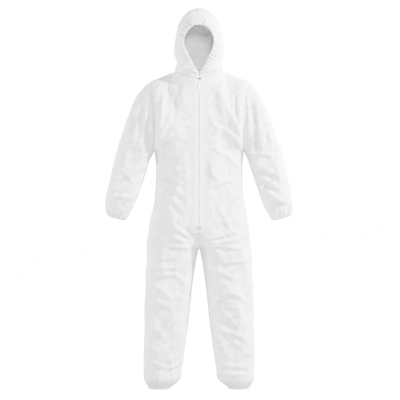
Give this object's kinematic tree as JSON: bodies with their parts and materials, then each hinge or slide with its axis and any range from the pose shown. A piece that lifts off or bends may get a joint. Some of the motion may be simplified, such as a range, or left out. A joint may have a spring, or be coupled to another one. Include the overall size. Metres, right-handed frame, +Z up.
{
  "type": "chemical protective suit",
  "caption": "Hooded protective coverall with a front zip, set-in sleeves and elasticated hood, waist, wrists and ankles.",
  "frame": {"origin": "on the plane of the ankle hems, midway between the sides and between front and back", "axes": "+Z up towards the hood, -Y out of the zipped front, +X to the wearer's left"},
  "size_m": [0.8568, 0.2699, 1.742],
  "materials": {
    "nonwoven_fabric": "white spunbond nonwoven, matt with a faint emboss",
    "elastic": "white knitted elastic",
    "zip_tape": "white woven polyester tape",
    "zip_coil": "white nylon coil",
    "zip_metal": "white enamelled zinc"
  },
  "bodies": {
    "trunk": {"front_panel_left": "nonwoven_fabric", "front_panel_right": "nonwoven_fabric", "back_panel_left": "nonwoven_fabric", "back_panel_right": "nonwoven_fabric", "waist_elastic": "elastic", "zip_tape_left": "zip_tape", "zip_tape_right": "zip_tape", "zip_teeth_left": "zip_coil", "zip_teeth_right": "zip_coil", "zip_top_stop_left": "zip_metal", "zip_top_stop_right": "zip_metal", "zip_bottom_stop": "zip_metal", "hood_neck_left": "nonwoven_fabric", "hood_neck_right": "nonwoven_fabric", "face_elastic_lower_left": "elastic", "face_elastic_lower_right": "elastic", "sleeve_cap_left": "nonwoven_fabric", "sleeve_cap_right": "nonwoven_fabric", "hip_flex_left": "nonwoven_fabric", "hip_flex_right": "nonwoven_fabric"},
    "hood": {"hood_panel_left": "nonwoven_fabric", "hood_panel_right": "nonwoven_fabric", "face_elastic_upper_left": "elastic", "face_elastic_upper_right": "elastic"},
    "slider": {"slider_body": "zip_metal"},
    "pull_tab": {"pull_tab": "zip_metal"},
    "sleeve_left": {"upper_sleeve_left": "nonwoven_fabric", "elbow_flex_left": "nonwoven_fabric"},
    "forearm_left": {"forearm_left": "nonwoven_fabric", "wrist_elastic_left": "elastic"},
    "thigh_left": {"thigh_front_left": "nonwoven_fabric", "thigh_back_left": "nonwoven_fabric", "knee_flex_left": "nonwoven_fabric"},
    "shin_left": {"shin_front_left": "nonwoven_fabric", "shin_back_left": "nonwoven_fabric", "ankle_elastic_left": "elastic"},
    "sleeve_right": {"upper_sleeve_right": "nonwoven_fabric", "elbow_flex_right": "nonwoven_fabric"},
    "forearm_right": {"forearm_right": "nonwoven_fabric", "wrist_elastic_right": "elastic"},
    "thigh_right": {"thigh_front_right": "nonwoven_fabric", "thigh_back_right": "nonwoven_fabric", "knee_flex_right": "nonwoven_fabric"},
    "shin_right": {"shin_front_right": "nonwoven_fabric", "shin_back_right": "nonwoven_fabric", "ankle_elastic_right": "elastic"}
  },
  "joints": [
    {"name": "zip_slide", "type": "slide", "parent": "trunk", "child": "slider", "axis": [0, -0.0419, -0.9991], "range_m": [0, 0.6317]},
    {"name": "pull_tab_swing", "type": "hinge", "parent": "slider", "child": "pull_tab", "pos_m": [0, -0.10991, 1.38341], "axis": [-1, 0, 0], "range_deg": [0, 170]},
    {"name": "hood_nod", "type": "hinge", "parent": "trunk", "child": "hood", "pos_m": [0, 0.02, 1.495], "axis": [1, 0, 0], "range_deg": [-12, 20], "deforming": ["hood_neck_left", "face_elastic_lower_left", "hood_neck_right", "face_elastic_lower_right"]},
    {"name": "sleeve_raise_left", "type": "hinge", "parent": "trunk", "child": "sleeve_left", "pos_m": [0.283, -0.004, 1.112], "axis": [0, -1, 0], "range_deg": [-6, 35], "deforming": ["sleeve_cap_left"]},
    {"name": "elbow_left", "type": "hinge", "parent": "sleeve_left", "child": "forearm_left", "pos_m": [0.328, -0.01, 0.969], "axis": [-0.9618, 0, -0.2738], "range_deg": [0, 60], "deforming": ["elbow_flex_left"]},
    {"name": "hip_left", "type": "hinge", "parent": "trunk", "child": "thigh_left", "pos_m": [0.128, 0, 0.585], "axis": [-1, 0, 0], "range_deg": [-15, 30], "deforming": ["hip_flex_left"]},
    {"name": "knee_left", "type": "hinge", "parent": "thigh_left", "child": "shin_left", "pos_m": [0.145, 0, 0.375], "axis": [1, 0, 0], "range_deg": [0, 60], "deforming": ["knee_flex_left"]},
    {"name": "sleeve_raise_right", "type": "hinge", "parent": "trunk", "child": "sleeve_right", "pos_m": [-0.283, -0.004, 1.112], "axis": [0, 1, 0], "range_deg": [-6, 35], "deforming": ["sleeve_cap_right"]},
    {"name": "elbow_right", "type": "hinge", "parent": "sleeve_right", "child": "forearm_right", "pos_m": [-0.328, -0.01, 0.969], "axis": [-0.9618, 0, 0.2738], "range_deg": [0, 60], "deforming": ["elbow_flex_right"]},
    {"name": "hip_right", "type": "hinge", "parent": "trunk", "child": "thigh_right", "pos_m": [-0.128, 0, 0.585], "axis": [-1, 0, 0], "range_deg": [-15, 30], "deforming": ["hip_flex_right"]},
    {"name": "knee_right", "type": "hinge", "parent": "thigh_right", "child": "shin_right", "pos_m": [-0.145, 0, 0.375], "axis": [1, 0, 0], "range_deg": [0, 60], "deforming": ["knee_flex_right"]}
  ]
}
